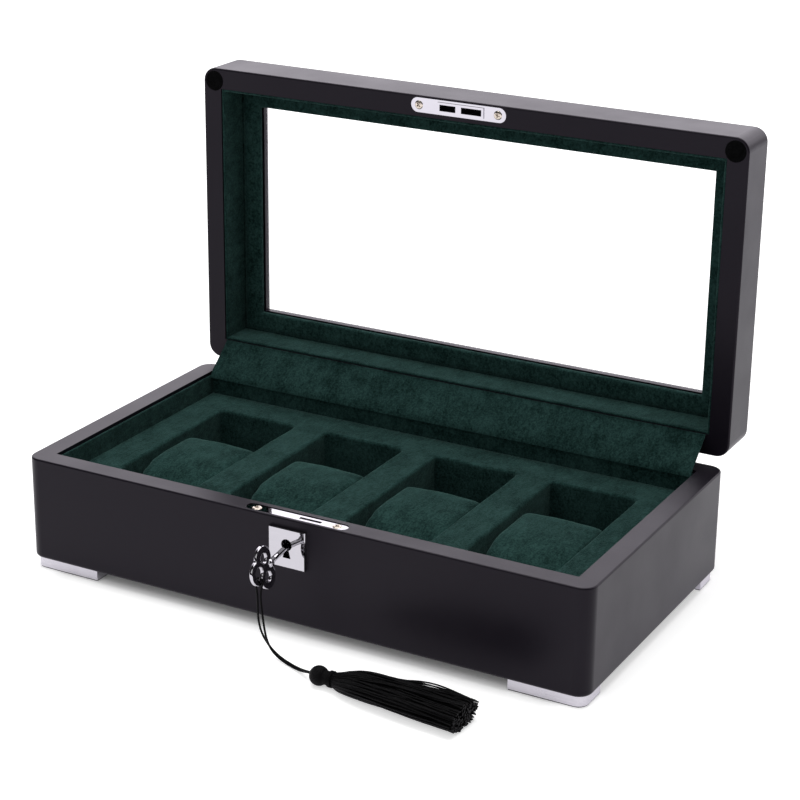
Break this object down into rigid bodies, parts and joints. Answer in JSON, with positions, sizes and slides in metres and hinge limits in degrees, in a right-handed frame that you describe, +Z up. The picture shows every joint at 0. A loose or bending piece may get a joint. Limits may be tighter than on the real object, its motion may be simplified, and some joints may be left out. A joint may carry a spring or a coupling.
{
  "type": "watch box",
  "caption": "Black lacquered watch box with a glazed hinged lid, velvet compartments with loose cushions, a mortise hook lock, a key on a tassel and metal corner feet.",
  "frame": {"origin": "on the surface the box stands on, under the middle of the box with its lid open", "axes": "+X along the box's width to the right seen from the front, +Y from the front to the hinges, +Z up"},
  "size_m": [0.34, 0.2697, 0.2498],
  "materials": {
    "black_lacquer": "satin black lacquer",
    "green_velvet": "short velvet pile",
    "green_velvet_cushion": "short velvet pile over a soft filling",
    "black_pad": "matt",
    "brushed_foot": "brushed along",
    "clear_glass": "clear",
    "black_felt": "felt",
    "black_cord": "twisted thread",
    "polished_metal": "polished",
    "screw_metal": "polished",
    "steel": "satin"
  },
  "bodies": {
    "base": {"base_front_board": "black_lacquer", "base_back_board": "black_lacquer", "base_left_board": "black_lacquer", "base_right_board": "black_lacquer", "floor_panel": "black_lacquer", "floor_lining": "green_velvet", "compartment_tray": "green_velvet", "base_front_liner": "green_velvet", "base_back_liner": "green_velvet", "base_left_liner": "green_velvet", "base_right_liner": "green_velvet", "foot_front_left": "brushed_foot", "foot_front_right": "brushed_foot", "foot_back_left": "brushed_foot", "foot_back_right": "brushed_foot", "foot_pads": "black_pad", "foot_screws": "screw_metal", "lock_case": "steel", "lock_plate": "polished_metal", "lock_plate_screws": "screw_metal", "hook_pivot": "steel", "escutcheon": "polished_metal", "hinge_left_base_leaf": "steel", "hinge_right_base_leaf": "steel", "hinge_left_pin": "steel", "hinge_right_pin": "steel", "hinge_base_screws": "screw_metal", "hinge_flap": "green_velvet"},
    "lid": {"lid_front_board": "black_lacquer", "lid_back_board": "black_lacquer", "lid_left_board": "black_lacquer", "lid_right_board": "black_lacquer", "lid_top_frame": "black_lacquer", "window_glass": "clear_glass", "window_liner": "green_velvet", "lid_front_liner": "green_velvet", "lid_back_liner": "green_velvet", "lid_left_liner": "green_velvet", "lid_right_liner": "green_velvet", "strike_plate": "polished_metal", "strike_screws": "screw_metal", "lid_bumper_left": "black_felt", "lid_bumper_right": "black_felt", "hinge_left_lid_leaf": "steel", "hinge_right_lid_leaf": "steel", "hinge_lid_screws": "screw_metal"},
    "tassel": {"tassel_cord_left": "black_cord", "tassel_cord_right": "black_cord", "tassel_head": "black_cord", "tassel_binding": "black_cord", "tassel_skirt": "black_cord"},
    "key": {"key": "polished_metal"},
    "hook": {"lock_hook": "steel"},
    "cushion_1": {"watch_cushion_1": "green_velvet_cushion"},
    "cushion_2": {"watch_cushion_2": "green_velvet_cushion"},
    "cushion_3": {"watch_cushion_3": "green_velvet_cushion"},
    "cushion_4": {"watch_cushion_4": "green_velvet_cushion"}
  },
  "joints": [
    {"name": "lid_hinge", "type": "hinge", "parent": "base", "child": "lid", "pos_m": [0, 0.0934, 0.0664], "axis": [1, 0, 0], "range_deg": [0, 90], "deforming": ["hinge_flap"]},
    {"name": "key_withdraw", "type": "slide", "parent": "base", "child": "tassel", "axis": [0, -1, 0], "range_m": [0, 0.03]},
    {"name": "key_turn", "type": "hinge", "parent": "tassel", "child": "key", "pos_m": [-0.0007, -0.0922, 0.0513], "axis": [0, -0.9903, -0.1392], "range_deg": [-10, 80], "deforming": ["tassel_cord_left", "tassel_cord_right"]},
    {"name": "lock_hook_swing", "type": "hinge", "parent": "base", "child": "hook", "pos_m": [0.016, -0.0845, 0.0566], "axis": [0, 1, 0], "range_deg": [-8, 60]},
    {"name": "cushion_1_lift", "type": "slide", "parent": "base", "child": "cushion_1", "axis": [0, 0, 1], "range_m": [0, 0.1]},
    {"name": "cushion_2_lift", "type": "slide", "parent": "base", "child": "cushion_2", "axis": [0, 0, 1], "range_m": [0, 0.1]},
    {"name": "cushion_3_lift", "type": "slide", "parent": "base", "child": "cushion_3", "axis": [0, 0, 1], "range_m": [0, 0.1]},
    {"name": "cushion_4_lift", "type": "slide", "parent": "base", "child": "cushion_4", "axis": [0, 0, 1], "range_m": [0, 0.1]}
  ],
  "couplings": [
    {"joint": "lock_hook_swing", "follows": "key_turn", "ratio": 0.75}
  ]
}
